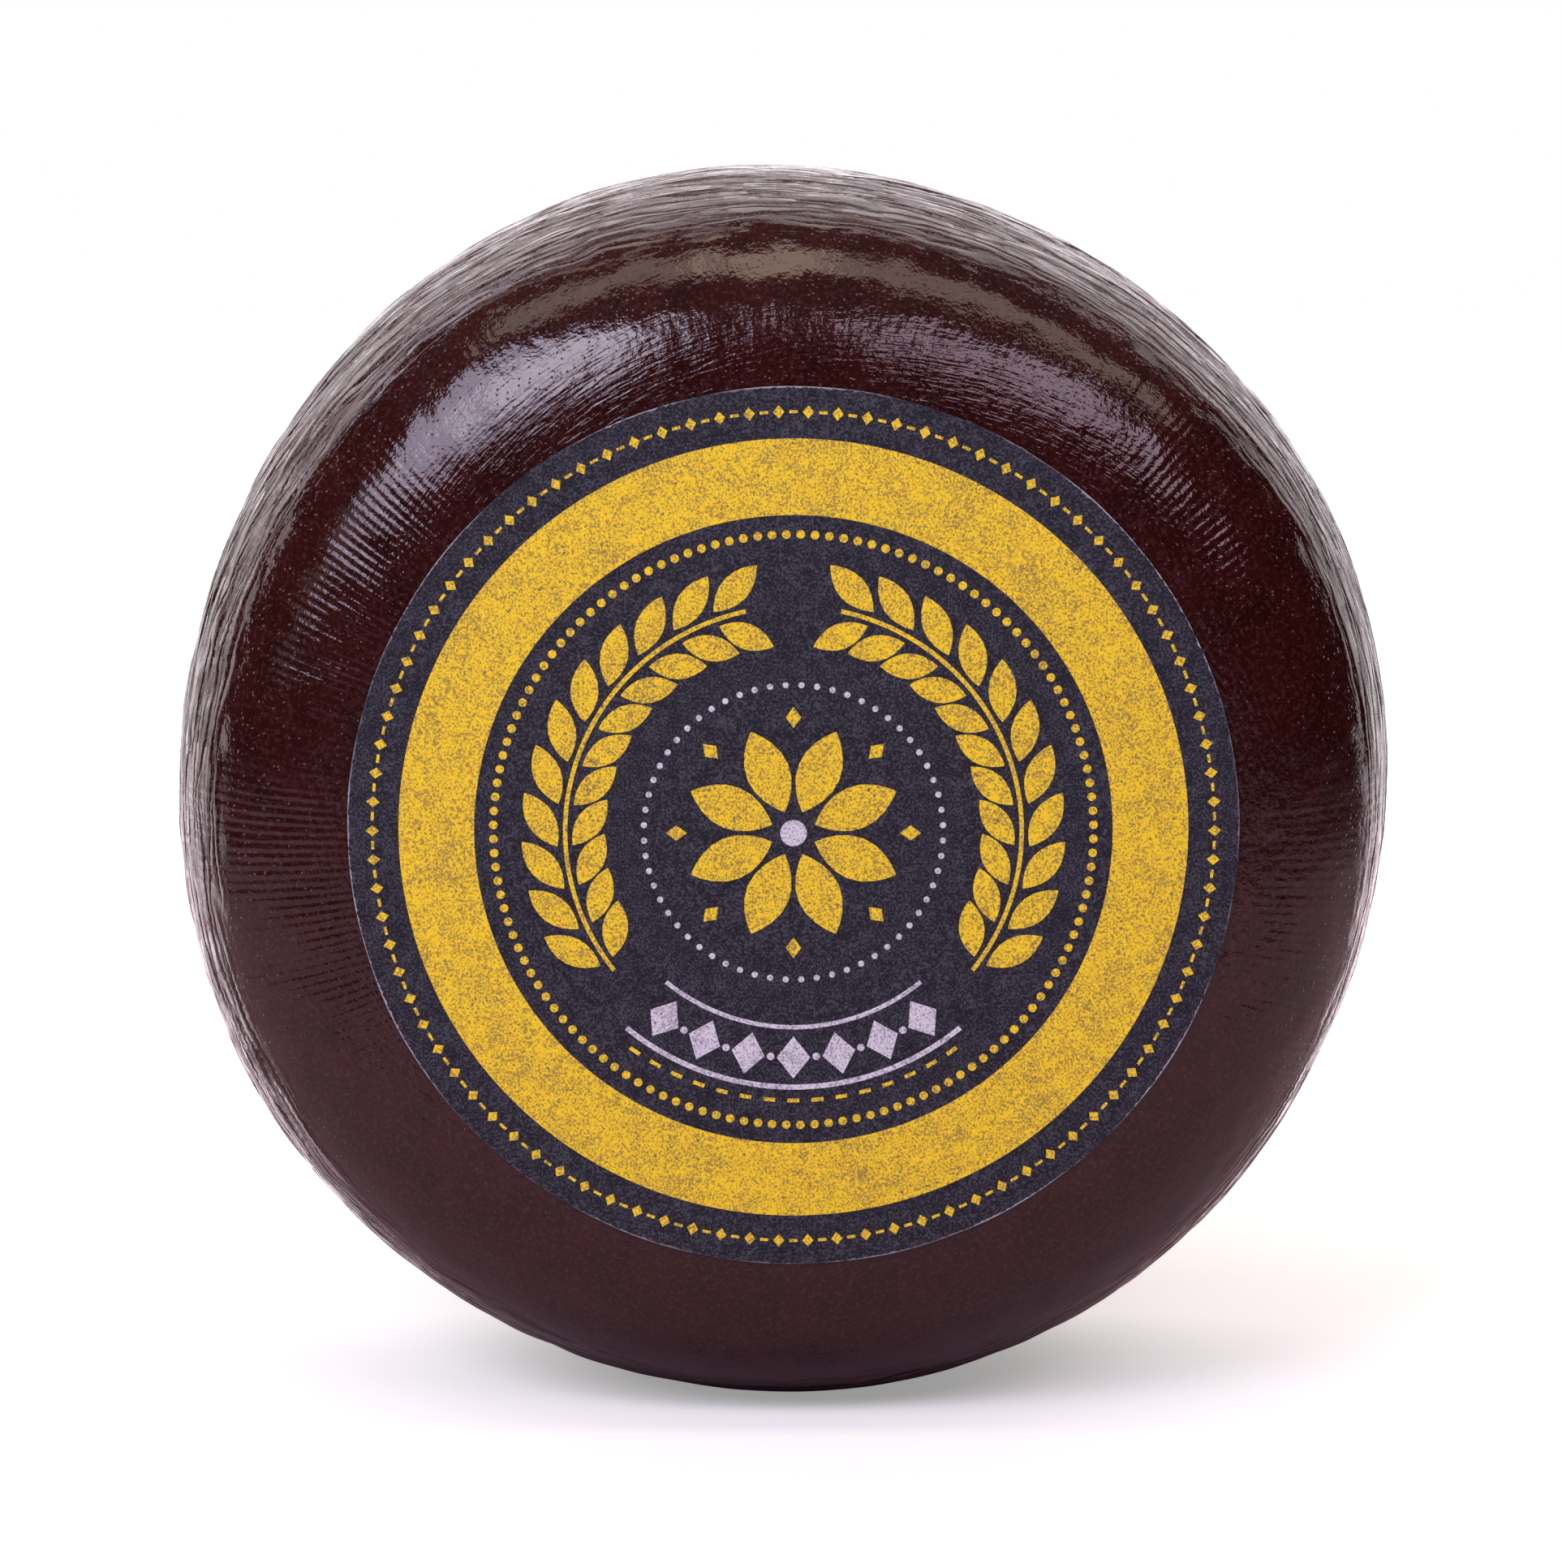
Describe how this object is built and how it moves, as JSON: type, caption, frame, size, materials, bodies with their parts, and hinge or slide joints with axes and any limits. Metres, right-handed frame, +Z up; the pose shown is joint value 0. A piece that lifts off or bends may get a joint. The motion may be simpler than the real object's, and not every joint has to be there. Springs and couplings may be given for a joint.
{
  "type": "goat cheese wheel",
  "caption": "Whole round goat cheese in a glossy dark coating with a round paper label on its face, standing on its rim.",
  "frame": {"origin": "middle of the small flat on the rim that the wheel stands on, straight under the wheel's axis", "axes": "+Z up; the wheel's axis along Y with the labelled face towards -Y; +X to the right as the label is seen"},
  "size_m": [0.1787, 0.0907, 0.1801],
  "materials": {
    "coating": "glossy dark red-brown dipped coating over cheese, with the marks of cloth and hoop under it",
    "label_paper": "uncoated charcoal paper with printed yellow and pale grey ornament"
  },
  "bodies": {
    "root": {"cheese_wheel": "coating", "label": "label_paper"}
  },
  "joints": []
}
